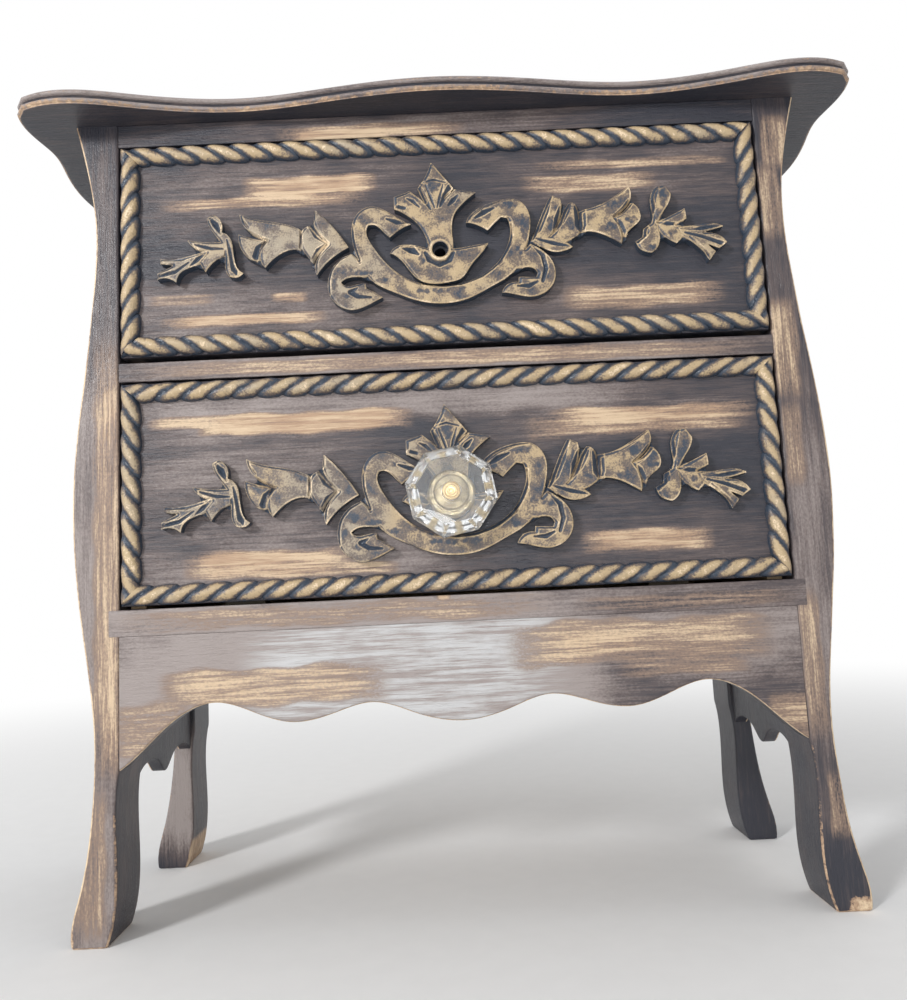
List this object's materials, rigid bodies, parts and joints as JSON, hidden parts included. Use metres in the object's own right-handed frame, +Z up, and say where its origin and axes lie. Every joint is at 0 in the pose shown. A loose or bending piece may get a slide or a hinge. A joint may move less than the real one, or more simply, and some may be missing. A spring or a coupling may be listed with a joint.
{
  "type": "miniature two-drawer chest",
  "caption": "Small bombe chest of two sliding drawers with rope-moulded, leaf-ornamented fronts, a glass knob, a shaped top and splayed legs.",
  "frame": {"origin": "on the floor, at the middle of the chest's outer box", "axes": "+Z up, +Y from the front to the back, +X to the viewer's right when facing the drawers"},
  "size_m": [0.346, 0.1406, 0.33],
  "materials": {
    "dark_distressed_paint": "dark brown-black paint rubbed through to tan wood, satin wax",
    "rubbed_ornament": "tan rubbed relief with dark glaze in the hollows",
    "rubbed_rope": "tan rubbed rope moulding with dark glaze between the strands",
    "raw_wood": "bare sanded softwood and ply",
    "knob_glass": "clear pressed glass, polished facets",
    "knob_brass": "aged polished brass",
    "steel_hardware": "zinc plated steel"
  },
  "bodies": {
    "carcass": {"apron": "dark_distressed_paint", "apron_block_left": "raw_wood", "apron_block_right": "raw_wood", "back_nails": "steel_hardware", "back_panel": "raw_wood", "back_post_left": "dark_distressed_paint", "back_post_right": "dark_distressed_paint", "bottom_board": "raw_wood", "bottom_cleat_left": "raw_wood", "bottom_cleat_right": "raw_wood", "divider_rail": "dark_distressed_paint", "front_post_left": "dark_distressed_paint", "front_post_right": "dark_distressed_paint", "lower_drawer_stops": "raw_wood", "shelf_rail": "dark_distressed_paint", "side_panel_left": "dark_distressed_paint", "side_panel_right": "dark_distressed_paint", "top_back_rail": "raw_wood", "top_board": "dark_distressed_paint", "top_cleat_left": "raw_wood", "top_cleat_right": "raw_wood", "top_rail": "dark_distressed_paint", "top_screws": "steel_hardware", "upper_drawer_stops": "raw_wood", "upper_runner_left": "raw_wood", "upper_runner_right": "raw_wood"},
    "upper_drawer": {"upper_back": "raw_wood", "upper_bottom": "raw_wood", "upper_drawer_nails": "steel_hardware", "upper_front": "dark_distressed_paint", "upper_palmette": "rubbed_ornament", "upper_rope_bottom": "rubbed_rope", "upper_rope_left": "rubbed_rope", "upper_rope_right": "rubbed_rope", "upper_rope_top": "rubbed_rope", "upper_scroll": "rubbed_ornament", "upper_side_left": "raw_wood", "upper_side_right": "raw_wood", "upper_spray_left": "rubbed_ornament", "upper_spray_right": "rubbed_ornament"},
    "lower_drawer": {"knob_bolt": "steel_hardware", "knob_ferrule": "knob_brass", "knob_glass": "knob_glass", "knob_nut": "steel_hardware", "knob_washer": "steel_hardware", "lower_back": "raw_wood", "lower_bottom": "raw_wood", "lower_drawer_nails": "steel_hardware", "lower_front": "dark_distressed_paint", "lower_palmette": "rubbed_ornament", "lower_rope_bottom": "rubbed_rope", "lower_rope_left": "rubbed_rope", "lower_rope_right": "rubbed_rope", "lower_rope_top": "rubbed_rope", "lower_scroll": "rubbed_ornament", "lower_side_left": "raw_wood", "lower_side_right": "raw_wood", "lower_spray_left": "rubbed_ornament", "lower_spray_right": "rubbed_ornament"}
  },
  "joints": [
    {"name": "upper_drawer_slide", "type": "slide", "parent": "carcass", "child": "upper_drawer", "axis": [0, -1, 0], "range_m": [0, 0.085]},
    {"name": "lower_drawer_slide", "type": "slide", "parent": "carcass", "child": "lower_drawer", "axis": [0, -1, 0], "range_m": [0, 0.085]}
  ]
}
